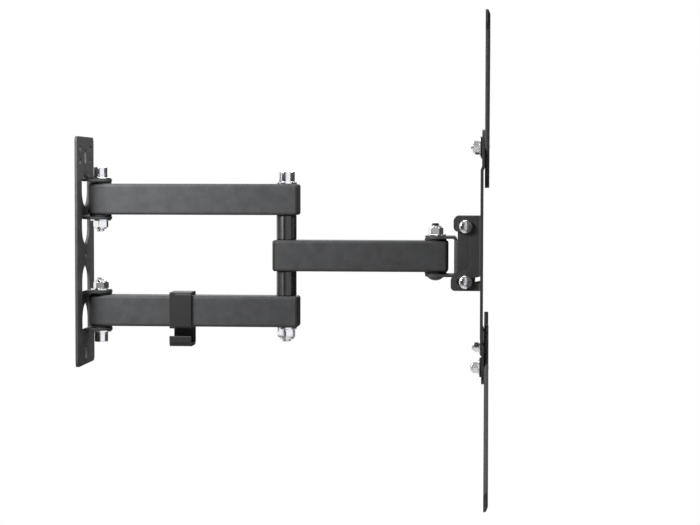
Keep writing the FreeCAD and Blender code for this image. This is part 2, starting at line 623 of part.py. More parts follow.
# One slotted side flange of the face plate, on the +Y side, with the bend that joins it to the sheet
def face_flange():
    waist = TILT_X + FLANGE_WAIST_FORWARD
    lobe_back = TILT_X - FLANGE_LOBE_BACK
    lobe_low = FLANGE_TOP - FLANGE_LOBE_DROP
    foot_back = TILT_X - FLANGE_FOOT_BACK
    edge = FACE_X - FACE_BEND_R
    web = outline([(edge, FLANGE_TOP, 0), (lobe_back, FLANGE_TOP, FLANGE_LOBE_R),
                   (lobe_back, lobe_low, FLANGE_LOBE_R), (waist, lobe_low, FLANGE_WAIST_R),
                   (waist, FLANGE_WAIST_LOW, FLANGE_WAIST_R), (foot_back, FLANGE_FOOT_TOP, FLANGE_FOOT_R),
                   (foot_back, FLANGE_BOTTOM, FLANGE_FOOT_R), (edge, FLANGE_BOTTOM, 0)],
                  side(FLANGE_IN_Y)).extrude(V(0, FACE_PLATE_THICK, 0))
    height = FLANGE_TOP - FLANGE_BOTTOM
    centre = V(edge, FLANGE_OUT_Y + FACE_BEND_R, FLANGE_BOTTOM)
    outer = Part.makeCylinder(FACE_BEND_R + FACE_PLATE_THICK, height, centre, V(0, 0, 1))
    inner = Part.makeCylinder(FACE_BEND_R, height, centre, V(0, 0, 1))
    quarter = block(edge, FACE_X + FACE_PLATE_THICK, FLANGE_IN_Y, centre.y, FLANGE_BOTTOM, FLANGE_TOP)
    flange = web.fuse(outer.cut(inner).common(quarter))
    half_slot = (M6 + TILT_SLOT_CLEARANCE) / 2
    low_y, high_y = FLANGE_IN_Y - OVERSHOOT, FLANGE_OUT_Y + FACE_BEND_R + TINY
    axis = V(TILT_X, low_y, TILT_AXIS_Z)
    width = high_y - low_y
    band = Part.makeCylinder(TILT_SLOT_RADIUS + half_slot, width, axis, V(0, 1, 0))
    band = band.cut(Part.makeCylinder(TILT_SLOT_RADIUS - half_slot, width, axis, V(0, 1, 0)))
    swing = math.radians(TILT_SLOT_UP_DEG)
    end_x = TILT_X - TILT_SLOT_RADIUS * math.sin(swing)
    end_z = TILT_AXIS_Z - TILT_SLOT_RADIUS * math.cos(swing)
    reach = FACE_X + FACE_PLATE_THICK + OVERSHOOT
    band = band.common(block(end_x, reach, low_y, high_y, FLANGE_BOTTOM, 0))
    tools = [band, pin_y(end_x, end_z, low_y, high_y, 2 * half_slot),
             pin_y(TILT_X, TILT_AXIS_Z, low_y, high_y, M6 + HOLE_CLEARANCE)]
    return flange.cut(tools)


def face_plate():
    half = FACE_PLATE_SIZE / 2
    t = FACE_PLATE_THICK
    mid = FACE_PLATE_MID_Z
    low, high = mid - half, mid + half
    bend0, bend1 = JOGGLE_HALF, JOGGLE_HALF + JOGGLE_RUN
    path = [(FACE_OUTER_X, low), (FACE_OUTER_X, mid - bend1), (FACE_X, mid - bend0), (FACE_X, mid + bend0),
            (FACE_OUTER_X, mid + bend1), (FACE_OUTER_X, high)]
    back = [(x, z, 0 if z in (low, high) else JOGGLE_R) for x, z in path]
    skin = [(x + t, z, radius) for x, z, radius in reversed(back)]
    sheet = outline(back + skin, side(-half)).extrude(V(0, 2 * half, 0))
    r = FACE_PLATE_CORNER_R
    behind = FACE_X - OVERSHOOT
    reach = FACE_OUTER_X + t + OVERSHOOT
    trim = outline([(-half, low, r), (half, low, r), (half, high, r), (-half, high, r)],
                   front(behind)).extrude(V(reach - behind, 0, 0))
    window = FLANGE_OUT_Y + FACE_BEND_R
    opening = block(behind, reach, -window, window, FLANGE_BOTTOM, FLANGE_TOP)
    flange = face_flange()
    plate = sheet.common(trim).cut(opening).fuse([flange, mirror_y(flange)])
    tools = []
    patterns = ((VESA_SMALL, VESA_HOLE_D), (VESA_MIDDLE, VESA_HOLE_D),
                (ADAPTER_BOLT_SPACING, M6 + HOLE_CLEARANCE))
    for spread, diameter in patterns:
        for y in (-spread / 2, spread / 2):
            for z in (-spread / 2, spread / 2):
                tools.append(pin_x(y, mid + z, behind, reach, diameter))
    return plate.cut(tools).removeSplitter()


# Extension arm drawn along +u from the plate's middle, as a shallow channel open to the television
def adapter():
    half = ADAPTER_WIDTH / 2
    t = ADAPTER_THICK
    outer_end = VESA_U + ADAPTER_OUTER_OVERHANG
    depth = ADAPTER_DEPTH
    profile = outline([(-half, 0, ADAPTER_BEND_R + t), (half, 0, ADAPTER_BEND_R + t), (half, depth, 0),
                       (half - t, depth, 0), (half - t, t, ADAPTER_BEND_R), (-half + t, t, ADAPTER_BEND_R),
                       (-half + t, depth, 0), (-half, depth, 0)], lambda v, w: V(ADAPTER_INNER, v, w))
    bar = profile.extrude(V(outer_end - ADAPTER_INNER, 0, 0))
    cut = ADAPTER_FLANGE_CUT
    elevation = outline([(ADAPTER_INNER, 0, 0), (outer_end, 0, 0), (outer_end, t, 0),
                         (outer_end - cut, depth, ADAPTER_FLANGE_R),
                         (ADAPTER_INNER, depth, ADAPTER_FLANGE_INNER_R)],
                        side(-half)).extrude(V(0, 2 * half, 0))
    top_view = outline([(ADAPTER_INNER, -half, ADAPTER_INNER_R), (outer_end, -half, ADAPTER_OUTER_R),
                        (outer_end, half, ADAPTER_OUTER_R), (ADAPTER_INNER, half, ADAPTER_INNER_R)],
                       plan(0)).extrude(V(0, 0, depth))
    above = t + OVERSHOOT
    tools = [pin_z(ADAPTER_BOLT_U, -OVERSHOOT, above, M6 + HOLE_CLEARANCE)]
    slot = ADAPTER_SLOT_D
    tools.append(pin_z(VESA_U, -OVERSHOOT, above, slot))
    for k in range(2):
        high = VESA_U - ADAPTER_SLOT_GAP - k * (ADAPTER_SLOT_GAP + ADAPTER_SLOT_RUN)
        low = high - ADAPTER_SLOT_RUN
        tools.append(pin_z(high, -OVERSHOOT, above, slot))
        tools.append(pin_z(low, -OVERSHOOT, above, slot))
        tools.append(block(low, high, -slot / 2, slot / 2, -OVERSHOOT, above))
    return bar.common(elevation).common(top_view).cut(tools).removeSplitter()


# Lay a piece drawn along +u, with its depth along +w, onto one diagonal of the face plate
def on_diagonal(shape, sign_y, sign_z):
    along = V(0, sign_y, sign_z).normalize()
    depth = V(1, 0, 0)
    across = depth.cross(along)
    frame = FreeCAD.Matrix(along.x, across.x, depth.x, ADAPTER_X,
                           along.y, across.y, depth.y, 0,
                           along.z, across.z, depth.z, FACE_PLATE_MID_Z, 0, 0, 0, 1)
    placed = shape.copy()
    placed.Placement = FreeCAD.Placement(frame)
    return placed


def adapter_parts():
    names = ("adapter_bolts", "adapter_cover_washers", "adapter_flat_washers", "adapter_lock_nuts")
    groups = {name: [] for name in names}
    toward_tv = V(1, 0, 0)
    half = ADAPTER_BOLT_SPACING / 2
    cover_x = FACE_OUTER_X - M6_COVER_T
    washer_x = cover_x - M6_WASHER_T
    tip_x = washer_x - M6_NUT_H - THREAD_STICKOUT / 2
    head_x = ADAPTER_X + ADAPTER_THICK
    for sign_y, side_name in ((-1, "near"), (1, "far")):
        for sign_z, level in ((1, "upper"), (-1, "lower")):
            groups["adapter_" + level + "_" + side_name] = [on_diagonal(adapter(), sign_y, sign_z)]
            y = sign_y * half
            z = FACE_PLATE_MID_Z + sign_z * half
            head = aim(dome(M6_DOME_D, M6_DOME_H), V(head_x, y, z), toward_tv)
            groups["adapter_bolts"].append(head.fuse(pin_x(y, z, tip_x, head_x, M6)).removeSplitter())
            cover = ring(M6_COVER_D, M6 + HOLE_CLEARANCE, M6_COVER_T, WASHER_EDGE)
            flat = ring(M6_WASHER_D, M6 + HOLE_CLEARANCE, M6_WASHER_T)
            nut = lock_nut(M6, M6_NUT_AF, M6_NUT_H)
            groups["adapter_cover_washers"].append(aim(cover, V(cover_x, y, z), toward_tv))
            groups["adapter_flat_washers"].append(aim(flat, V(washer_x, y, z), toward_tv))
            groups["adapter_lock_nuts"].append(aim(nut, V(washer_x, y, z), -toward_tv))
    return groups


# Cable clip: a sleeve round the lower arm with a hook below it, open under the near side
def cable_clip():
    gap = CLIP_CLEARANCE
    x0 = CLIP_MID_X - CLIP_LENGTH / 2
    x1 = CLIP_MID_X + CLIP_LENGTH / 2
    half_in = TUBE_WIDTH / 2 + gap
    half_out = half_in + CLIP_WALL
    tube_top = -REAR_ARM_MID_Z + HALF_TUBE + gap
    tube_low = -REAR_ARM_MID_Z - HALF_TUBE - gap
    top = tube_top + CLIP_SADDLE
    low = tube_low - CLIP_FLOOR
    hook_low = low - CLIP_HOOK_DROP
    wall = CLIP_HOOK_WALL
    r = TUBE_CORNER_R
    sleeve = outline([(-half_out, low, r), (half_out, low, r), (half_out, top, r), (-half_out, top, r)],
                     front(x0)).extrude(V(CLIP_LENGTH, 0, 0))
    bore = outline([(-half_in, tube_low, r), (half_in, tube_low, r), (half_in, tube_top, r),
                    (-half_in, tube_top, r)], front(x0)).extrude(V(CLIP_LENGTH, 0, 0))
    lip_top = hook_low + CLIP_LIP_RISE
    inner_r = CLIP_HOOK_R - wall
    hook = outline([(half_out, low + r, 0), (half_out, hook_low, CLIP_HOOK_R),
                    (-half_out, hook_low, CLIP_HOOK_R),
                    (-half_out, lip_top, CLIP_LIP_R), (-half_out + wall, lip_top, CLIP_LIP_R),
                    (-half_out + wall, hook_low + wall, inner_r),
                    (half_out - wall, hook_low + wall, inner_r),
                    (half_out - wall, low + r, 0)], front(x0)).extrude(V(CLIP_LENGTH, 0, 0))
    clip = sleeve.fuse(hook).cut(bore)
    step_y = -half_out + CLIP_STEP
    step = block(x0, x0 + CLIP_STEP_LENGTH, -half_out, step_y, low - OVERSHOOT, top)
    return clip.cut(step).removeSplitter()


def build_parts():
    mid = REAR_ARM_MID_Z
    nodes = {
        "wall_plate": [wall_plate()],
        "upper_arm": [rear_arm(mid)],
        "lower_arm": [rear_arm(-mid)],
        "front_arm": [front_arm()],
        "wall_end_bushes": [tube_bush(WALL_PIVOT_X, z, M8_BUSH_D, M8) for z in (mid, -mid)],
        "elbow_end_bushes": [tube_bush(ELBOW_X, z, M10_BUSH_D, M10) for z in (mid, -mid)],
        "front_elbow_bush": [tube_bush(ELBOW_X, 0, M10_BUSH_D, M10)],
        "front_head_bush": [tube_bush(HEAD_X, 0, M8_BUSH_D, M8)],
        "rear_arm_end_caps": end_caps_rear(),
        "front_arm_elbow_cap": front_elbow_cap(),
        "front_arm_head_cap": front_head_cap(),
        "swivel_bracket": [swivel_bracket()],
        "face_plate": [face_plate()],
        "cable_clip": [cable_clip()],
    }
    for group in (wall_pivot_parts(), elbow_parts(), head_pivot_parts(), tilt_parts(), adapter_parts()):
        nodes.update(group)
    return nodes


def save(name, solids):
    shape = solids[0] if len(solids) == 1 else Part.Compound(solids)
    bodies = len(shape.Solids)
    print(name, "solids", bodies, "of", len(solids), "valid", shape.isValid())
    shape.exportStep("parts/" + name + ".step")


os.makedirs("parts", exist_ok=True)
for node_name, node_solids in build_parts().items():
    save(node_name, node_solids)
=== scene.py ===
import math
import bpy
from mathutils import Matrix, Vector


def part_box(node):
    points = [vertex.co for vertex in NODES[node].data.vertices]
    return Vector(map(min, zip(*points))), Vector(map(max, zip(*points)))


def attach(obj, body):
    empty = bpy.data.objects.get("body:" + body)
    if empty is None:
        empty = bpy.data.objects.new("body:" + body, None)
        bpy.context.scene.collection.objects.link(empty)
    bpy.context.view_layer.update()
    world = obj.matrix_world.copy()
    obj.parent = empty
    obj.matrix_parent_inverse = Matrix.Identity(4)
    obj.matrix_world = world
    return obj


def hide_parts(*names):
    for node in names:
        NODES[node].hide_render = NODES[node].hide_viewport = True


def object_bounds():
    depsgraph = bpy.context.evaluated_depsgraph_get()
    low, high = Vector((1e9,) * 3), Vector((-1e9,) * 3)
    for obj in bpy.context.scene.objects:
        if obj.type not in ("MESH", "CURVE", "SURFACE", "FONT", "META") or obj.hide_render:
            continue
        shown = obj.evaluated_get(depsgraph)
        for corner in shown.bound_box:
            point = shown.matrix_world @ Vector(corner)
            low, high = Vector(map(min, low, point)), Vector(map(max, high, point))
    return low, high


bl_info = {
    "name": "Swivel television wall mount",
    "version": (1, 0, 0),
    "blender": (4, 5, 0),
    "location": "View3D > Sidebar > Wall mount",
    "description": "Finishes and fine fasteners of a full-motion television wall mount",
    "category": "Object",
}

import bpy
from mathutils import Matrix, Vector

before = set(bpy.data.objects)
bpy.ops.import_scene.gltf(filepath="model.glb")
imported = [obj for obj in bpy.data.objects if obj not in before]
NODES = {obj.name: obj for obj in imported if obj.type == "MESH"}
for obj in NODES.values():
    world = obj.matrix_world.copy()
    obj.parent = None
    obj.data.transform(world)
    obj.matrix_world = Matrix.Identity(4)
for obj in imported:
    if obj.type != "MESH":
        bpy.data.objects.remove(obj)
CAD_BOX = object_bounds()

MM = 0.001
IMAGE_WIDTH = 700
SENSOR_WIDTH = 36.0
UP = (0, 0, 1)
DOWN = (0, 0, -1)
TO_WALL = (-1, 0, 0)
TO_SCREEN = (1, 0, 0)

# Metric sizes of the screws and nuts
M6, M8, M10 = 6 * MM, 8 * MM, 10 * MM
M6_FLATS, M8_FLATS, M10_FLATS = 10 * MM, 13 * MM, 17 * MM
M8_SOCKET, M10_SOCKET = 6 * MM, 8 * MM
M6_NUT_HEIGHT, M8_NUT_HEIGHT = 6 * MM, 8 * MM
EXTENSION_HEAD_WIDTH = 14 * MM
EXTENSION_HEAD_HEIGHT = 2.8 * MM

# Threaded lengths
WALL_THREAD = 22 * MM
ELBOW_THREAD = 30 * MM
HEAD_THREAD = 20 * MM
SHORT_THREAD = 9 * MM

# How far each nut happens to be turned, in degrees
WALL_NUT_SPIN = 32
ELBOW_NUT_SPIN = 26
HEAD_NUT_SPIN = 28

# Pale panels of the studio that show in bright metal: bearings in degrees, and levels
LEFT_PANEL_END = -64
RIGHT_PANEL_START, RIGHT_PANEL_END = -3, 77
PANEL_HEIGHT = 0.7
PANEL_LEVEL = 1.05
OVERHEAD_LEVEL = 0.4
ROOM_LEVEL = 0.07

# Small gaps, edges and overlaps
RUNNING_GAP = 0.04 * MM
HEAD_GAP = 0.03 * MM
BORE_CLEARANCE = 0.25 * MM
NUT_PLAY = 0.1 * MM
SLIMMER_THREAD = 0.25 * MM
WASHER_EDGE = 0.3 * MM
FOOT_EDGE = 0.2 * MM
TIP_CHAMFER = 0.8 * MM
SMALL_TIP_CHAMFER = 0.6 * MM
OVERLAP = 0.1 * MM
WELD_DISTANCE = 2e-6


# Places read from the frame

def low(node):
    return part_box(node)[0]


def high(node):
    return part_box(node)[1]


def middle(node):
    return (low(node) + high(node)) / 2


# Values that a user would change

class MountFinishes(bpy.types.PropertyGroup):
    """Colours of the finishes"""

    powder: bpy.props.FloatVectorProperty(
        name="Powder coat", description="Colour of the textured coat on tubes and sheets",
        subtype="COLOR", size=3, min=0, max=1, default=(0.056, 0.057, 0.059))
    satin: bpy.props.FloatVectorProperty(
        name="Satin black", description="Colour of the spacer sleeves",
        subtype="COLOR", size=3, min=0, max=1, default=(0.010, 0.010, 0.011))
    oxide: bpy.props.FloatVectorProperty(
        name="Black oxide", description="Colour of the carriage bolt",
        subtype="COLOR", size=3, min=0, max=1, default=(0.045, 0.046, 0.050))
    zinc: bpy.props.FloatVectorProperty(
        name="Zinc plating", description="Colour of the bright screws, nuts and washers",
        subtype="COLOR", size=3, min=0, max=1, default=(0.76, 0.79, 0.84))
    plastic: bpy.props.FloatVectorProperty(
        name="Black plastic", description="Colour of caps, bushes, washers and the cable clip",
        subtype="COLOR", size=3, min=0, max=1, default=(0.020, 0.020, 0.021))
    nylon: bpy.props.FloatVectorProperty(
        name="Nylon", description="Colour of the ring inside each lock nut",
        subtype="COLOR", size=3, min=0, max=1, default=(0.62, 0.64, 0.66))
    grain: bpy.props.FloatProperty(
        name="Coat grain", description="Width of one bump of the textured coat",
        subtype="DISTANCE", unit="LENGTH", min=0.0001, max=0.002, default=0.45 * MM)


class MountFasteners(bpy.types.PropertyGroup):
    """Sizes of screw threads, heads and nuts"""

    pitch_m6: bpy.props.FloatProperty(
        name="M6 pitch", description="Height of one thread turn on the M6 screws",
        unit="LENGTH", min=0.0005, max=0.002, default=1.0 * MM)
    pitch_m8: bpy.props.FloatProperty(
        name="M8 pitch", description="Height of one thread turn on the M8 screws",
        unit="LENGTH", min=0.0005, max=0.002, default=1.25 * MM)
    pitch_m10: bpy.props.FloatProperty(
        name="M10 pitch", description="Height of one thread turn on the M10 screw",
        unit="LENGTH", min=0.0005, max=0.002, default=1.5 * MM)
    thread_depth: bpy.props.FloatProperty(
        name="Thread depth", description="Depth of a thread as a share of its pitch",
        min=0.3, max=0.7, default=0.6)
    stickout: bpy.props.FloatProperty(
        name="Tip", description="How far a screw tip stands out of its M8 or M10 lock nut",
        unit="LENGTH", min=0, max=0.01, default=2.5 * MM)
    sheet: bpy.props.FloatProperty(
        name="Sheet", description="Thickness of the pressed sheets",
        unit="LENGTH", min=0.001, max=0.005, default=2.5 * MM)
    head_edge: bpy.props.FloatProperty(
        name="Head edge", description="Radius round the rim of a socket head",
        unit="LENGTH", min=0.0001, max=0.002, default=0.9 * MM)
    rim: bpy.props.FloatProperty(
        name="Nut wall", description="Thickness of the collar that holds the nylon ring",
        unit="LENGTH", min=0.0003, max=0.002, default=0.8 * MM)
    facets: bpy.props.IntProperty(
        name="Facets", description="Steps round a turned piece", min=24, max=128, default=56)


class MountStage(bpy.types.PropertyGroup):
    """Floor, lamps and camera"""

    floor_drop: bpy.props.FloatProperty(
        name="Floor drop", description="Height of the mount's lowest point above the floor",
        unit="LENGTH", min=0.1, max=2.0, default=0.42)
    floor_colour: bpy.props.FloatVectorProperty(
        name="Floor", description="Colour of the floor",
        subtype="COLOR", size=3, min=0, max=1, default=(0.86, 0.86, 0.86))
    ambient: bpy.props.FloatProperty(
        name="Ambient", description="Level of the light from all round", min=0, max=2, default=0.12)
    key_power: bpy.props.FloatProperty(
        name="Key lamp", description="Power of the lamp at the upper left",
        unit="POWER", min=0, max=400, default=5.0)
    back_power: bpy.props.FloatProperty(
        name="Back lamp", description="Power of the large lamp behind the mount",
        unit="POWER", min=0, max=400, default=10.0)
    fill_power: bpy.props.FloatProperty(
        name="Fill lamp", description="Power of the lamp on the television's side",
        unit="POWER", min=0, max=400, default=10.0)
    top_power: bpy.props.FloatProperty(
        name="Top lamp", description="Power of the lamp overhead",
        unit="POWER", min=0, max=400, default=6.0)
    camera_place: bpy.props.FloatVectorProperty(
        name="Camera", description="Place of the camera",
        subtype="TRANSLATION", unit="LENGTH", size=3, default=(0.3903, -1.7509, 0.0754))
    camera_turn: bpy.props.FloatVectorProperty(
        name="Camera turn", description="How the camera is turned to the right, up and rolled",
        subtype="EULER", unit="ROTATION", size=3,
        default=(math.radians(-4.239), math.radians(-2.674), math.radians(0.10)))
    focal_pixels: bpy.props.FloatProperty(
        name="Focal length", description="Focal length in pixels of the photograph's frame",
        min=300, max=5000, default=1822.8)


# Selection and edit mode, as done by hand

def deselect():
    bpy.ops.object.select_all(action="DESELECT")


def take(*objects):
    """Select these objects alone, with the first one active."""
    deselect()
    for piece in objects:
        piece.select_set(True)
    bpy.context.view_layer.objects.active = objects[0]


def fresh(name):
    """Name the object that was just added."""
    piece = bpy.context.active_object
    piece.name = name
    piece.data.name = name
    return piece


def edit(piece):
    take(piece)
    bpy.ops.object.mode_set(mode="EDIT")
    bpy.ops.mesh.select_all(action="SELECT")


def leave():
    bpy.ops.object.mode_set(mode="OBJECT")


def tidy_shell(piece):
    """Close seams and poles and turn every face outwards."""
    edit(piece)
    bpy.ops.mesh.remove_doubles(threshold=WELD_DISTANCE)
    bpy.ops.mesh.normals_make_consistent(inside=False)
    leave()


def apply(piece, modifier):
    take(piece)
    bpy.ops.object.modifier_apply(modifier=modifier.name)


def smooth(piece, degrees=35.0):
    take(piece)
    bpy.ops.object.shade_smooth_by_angle(angle=math.radians(degrees))


def chain(name, points):
    """A line of vertices in the XZ plane, each extruded from the one before."""
    deselect()
    bpy.ops.mesh.primitive_plane_add(size=MM)
    piece = fresh(name)
    edit(piece)
    bpy.ops.mesh.merge(type="CENTER")
    bpy.ops.transform.translate(value=(points[0][0], 0, points[0][1]))
    for before, after in zip(points, points[1:]):
        step = (after[0] - before[0], 0, after[1] - before[1])
        bpy.ops.mesh.extrude_vertices_move(TRANSFORM_OT_translate={"value": step})
    leave()
    return piece


def turned(name, points, facets):
    """A piece turned about Z from an outline of radius and height."""
    piece = chain(name, points)
    edit(piece)
    bpy.ops.mesh.spin(steps=facets, angle=2 * math.pi, center=(0, 0, 0), axis=(0, 0, 1))
    leave()
    tidy_shell(piece)
    return piece


def arc(centre, radius, start, end, steps):
    """Points of an arc in the outline plane, with angles in degrees."""
    points = []
    for k in range(steps + 1):
        angle = math.radians(start + (end - start) * k / steps)
        points.append((centre[0] + radius * math.cos(angle), centre[1] + radius * math.sin(angle)))
    return points


def cut(piece, tool, operation="DIFFERENCE"):
    """Combine a piece with a tool that is then thrown away."""
    modifier = piece.modifiers.new("Cut", "BOOLEAN")
    modifier.operation = operation
    modifier.solver = "EXACT"
    modifier.object = tool
    apply(piece, modifier)
    bpy.data.objects.remove(tool)
    return piece


def prism(name, corners, radius, bottom, top):
    """A straight prism about Z, its corners on a circle."""
    deselect()
    bpy.ops.mesh.primitive_cylinder_add(vertices=corners, radius=radius, depth=top - bottom,
                                        location=(0, 0, (bottom + top) / 2))
    piece = fresh(name)
    bpy.ops.object.transform_apply(location=True, rotation=True, scale=True)
    return piece


def place(piece, base, direction):
    """Turn a piece drawn along Z to a direction, and apply its place to its mesh."""
    piece.rotation_mode = "QUATERNION"
    piece.rotation_quaternion = Vector((0, 0, 1)).rotation_difference(Vector(direction))
    piece.location = base
    take(piece)
    bpy.ops.object.transform_apply(location=True, rotation=True, scale=True)
    return piece


def twin(piece):
    """A copy with a mesh of its own."""
    take(piece)
    bpy.ops.object.duplicate(linked=False)
    return bpy.context.active_object


def spread(name, piece, places):
    """Copies of one piece at several bases and directions, joined under one name."""
    copies = [twin(piece) for _ in places[1:]] + [piece]
    for copy, (base, direction) in zip(copies, places):
        place(copy, base, direction)
    take(*copies)
    if len(copies) > 1:
        bpy.ops.object.join()
    return fresh(name)


def join(name, *pieces):
    take(*pieces)
    bpy.ops.object.join()
    return fresh(name)


# Threads, heads and nuts, drawn along Z with the bearing face at zero

def thread(name, diameter, pitch, bottom, top, tip):
    """A helical thread, cut flat at both ends, with a chamfered tip below."""
    sizes = bpy.context.scene.mount_fasteners
    outer = diameter / 2
    root = outer - pitch * sizes.thread_depth
    flat = pitch / 8
    profile = [(root, 0), (root, flat), (outer, pitch / 2 - flat / 2), (outer, pitch / 2 + flat / 2),
               (root, pitch - flat), (root, pitch)]
    piece = chain(name, profile)
    turns = math.ceil((top - bottom) / pitch) + 3
    modifier = piece.modifiers.new("Thread", "SCREW")
    modifier.axis = "Z"
    modifier.angle = 2 * math.pi
    modifier.screw_offset = pitch
    modifier.iterations = turns
    modifier.steps = 32
    modifier.render_steps = 32
    apply(piece, modifier)
    place(piece, (0, 0, bottom - 1.5 * pitch), (0, 0, 1))
    edit(piece)
    bpy.ops.mesh.remove_doubles(threshold=WELD_DISTANCE)
    bpy.ops.mesh.bisect(plane_co=(0, 0, top), plane_no=(0, 0, 1), use_fill=True, clear_outer=True)
    bpy.ops.mesh.select_all(action="SELECT")
    bpy.ops.mesh.bisect(plane_co=(0, 0, bottom + tip), plane_no=(0, 0, 1), use_fill=True, clear_inner=True)
    bpy.ops.mesh.extrude_region_move(TRANSFORM_OT_translate={"value": (0, 0, -tip)})
    share = (root - tip / 3) / outer
    bpy.ops.transform.resize(value=(share, share, 1), center_override=(0, 0, bottom))
    leave()
    tidy_shell(piece)
    return piece


def socket_screw(name, size, pitch, head_d, head_h, socket_af, length, threaded):
    """A cap screw with a hexagon socket in its round head."""
    sizes = bpy.context.scene.mount_fasteners
    edge = sizes.head_edge
    neck = size / 2 + 0.3 * MM
    rim = [(0, head_h)] + list(reversed(arc((head_d / 2 - edge, head_h - edge), edge, 0, 90, 5)))
    fillet = 0.3 * MM
    foot = arc((head_d / 2 - fillet, fillet), fillet, 0, -90, 3)
    shank = [(neck, 0), (size / 2, -0.4 * MM), (size / 2, -length + threaded), (0, -length + threaded)]
    piece = turned(name, rim + foot + shank, sizes.facets)
    corner = socket_af / math.sqrt(3)
    socket = prism("socket_tool", 6, corner, head_h * 0.5, head_h + MM)
    cut(piece, socket)
    mouth_foot, mouth_top = head_h - 0.5 * MM, head_h + 0.4 * MM
    mouth = turned("mouth_tool", [(0, mouth_foot), (socket_af / 2, mouth_foot),
                                  (corner + 0.5 * MM, mouth_top), (0, mouth_top)], sizes.facets)
    cut(piece, mouth)
    spiral = thread("spiral", size, pitch, -length, -length + threaded + OVERLAP, TIP_CHAMFER)
    piece = join(name, piece, spiral)
    smooth(piece)
    return piece


def dome_screw(name, size, pitch, head_d, head_h, length, threaded, square=0.0):
    """A bolt with a low domed head, and a square neck where a size is given."""
    sizes = bpy.context.scene.mount_fasteners
    radius = (head_d * head_d / 4 + head_h * head_h) / (2 * head_h)
    opening = math.degrees(math.asin(head_d / 2 / radius))
    crown = list(reversed(arc((0, head_h - radius), radius, 90 - opening, 90, 12)))
    shank = [(head_d / 2 - FOOT_EDGE, 0), (size / 2, 0),
             (size / 2, -length + threaded), (0, -length + threaded)]
    piece = turned(name, crown + shank, sizes.facets)
    parts = [piece, thread("spiral", size, pitch, -length, -length + threaded + OVERLAP, TIP_CHAMFER)]
    if square:
        neck = prism("neck", 4, square / math.sqrt(2), -sizes.sheet, 0)
        take(neck)
        neck.rotation_euler = (0, 0, math.pi / 4)
        bpy.ops.object.transform_apply(location=True, rotation=True, scale=True)
        parts.append(neck)
    piece = join(name, *parts)
    smooth(piece)
    return piece


def cross_cutter(span, width, bottom, top):
    """The tool for a cross recess: two crossed blades that narrow towards the bottom."""
    blades = []
    centre = (bottom + top) / 2
    for name, along, across in (("blade", span, width), ("second_blade", width, span)):
        deselect()
        bpy.ops.mesh.primitive_cube_add(size=1, location=(0, 0, centre),
                                        scale=(along, across, top - bottom))
        blade = fresh(name)
        bpy.ops.object.transform_apply(location=True, rotation=True, scale=True)
        edit(blade)
        bpy.ops.mesh.select_all(action="DESELECT")
        leave()
        for vertex in blade.data.vertices:
            vertex.select = vertex.co.z < centre
        take(blade)
        bpy.ops.object.mode_set(mode="EDIT")
        bpy.ops.transform.resize(value=(0.62, 0.62, 1), center_override=(0, 0, bottom))
        leave()
        blades.append(blade)
    return cut(blades[0], blades[1], "UNION")


def cross_screw(name, size, pitch, head_d, head_h, length, threaded):
    """A pan head screw with a cross recess, a little slimmer than its size so that it slides in a slot."""
    sizes = bpy.context.scene.mount_fasteners
    size = size - SLIMMER_THREAD
    head_r = head_d / 2
    brim = head_h * 0.3
    crown = []
    for degrees in range(0, 91, 9):
        angle = math.radians(degrees)
        crown.append((head_r * math.sin(angle), brim + (head_h - brim) * math.cos(angle)))
    shank = [(head_r, FOOT_EDGE), (head_r - FOOT_EDGE, HEAD_GAP), (size / 2, HEAD_GAP),
             (size / 2, -length + threaded), (0, -length + threaded)]
    piece = turned(name, crown + shank, sizes.facets)
    tool = cross_cutter(head_d * 0.52, head_d * 0.12, head_h * 0.42, head_h + MM)
    tool.rotation_euler = (0, 0, math.radians(45))
    take(tool)
    bpy.ops.object.transform_apply(location=True, rotation=True, scale=True)
    cut(piece, tool)
    heart = turned("heart_tool", [(0, head_h * 0.36), (head_d * 0.06, head_h * 0.36),
                                  (head_d * 0.125, head_h + MM), (0, head_h + MM)], 24)
    cut(piece, heart)
    spiral = thread("spiral", size, pitch, -length, -length + threaded + OVERLAP, SMALL_TIP_CHAMFER)
    piece = join(name, piece, spiral)
    smooth(piece)
    return piece


def lock_nut(name, size, across_flats, height):
    """A hexagon nut with a round collar and a nylon ring in it."""
    sizes = bpy.context.scene.mount_fasteners
    corner = across_flats / math.sqrt(3)
    hex_h = height * 0.8
    wall = sizes.rim
    chamfer = 0.35 * (corner - across_flats / 2) * 2
    bore = size / 2 + NUT_PLAY
    piece = prism(name, 6, corner, 0, hex_h)
    clear_of_corner = corner + 0.01 * MM
    rounding = turned("rounding_tool", [(0, 0), (corner - chamfer, 0), (clear_of_corner, chamfer * 0.6),
                                        (clear_of_corner, hex_h - chamfer * 0.9),
                                        (corner - chamfer * 1.3, hex_h), (0, hex_h)], sizes.facets)
    cut(piece, rounding, "INTERSECT")
    cut(piece, prism("bore_tool", sizes.facets, bore, -MM, height + MM))
    collar_r = across_flats * 0.43
    mouth = collar_r - wall
    edge = height * 0.1
    rounded_rim = arc((collar_r - edge, height - edge), edge, 0, 90, 5)
    lip = mouth - 0.2 * MM
    outer = [(bore, hex_h * 0.5), (collar_r, hex_h * 0.5)]
    inner = [(lip, height), (lip, height - 0.5 * MM), (mouth, height - 0.6 * MM),
             (mouth, height * 0.72), (bore, height * 0.72), (bore, hex_h * 0.5)]
    collar = turned("collar", outer + rounded_rim + inner, sizes.facets)
    ring_r = size / 2 - 0.15 * MM
    ring_foot, ring_top = height * 0.74, height - 0.7 * MM
    ring = turned("nylon", [(ring_r, ring_foot), (mouth, ring_foot), (mouth, ring_top),
                            (ring_r + 0.5 * MM, ring_top), (ring_r, height - 1.2 * MM),
                            (ring_r, ring_foot)], sizes.facets)
    piece = join(name, piece, collar)
    smooth(piece)
    smooth(ring)
    return piece, ring


# Shader maths

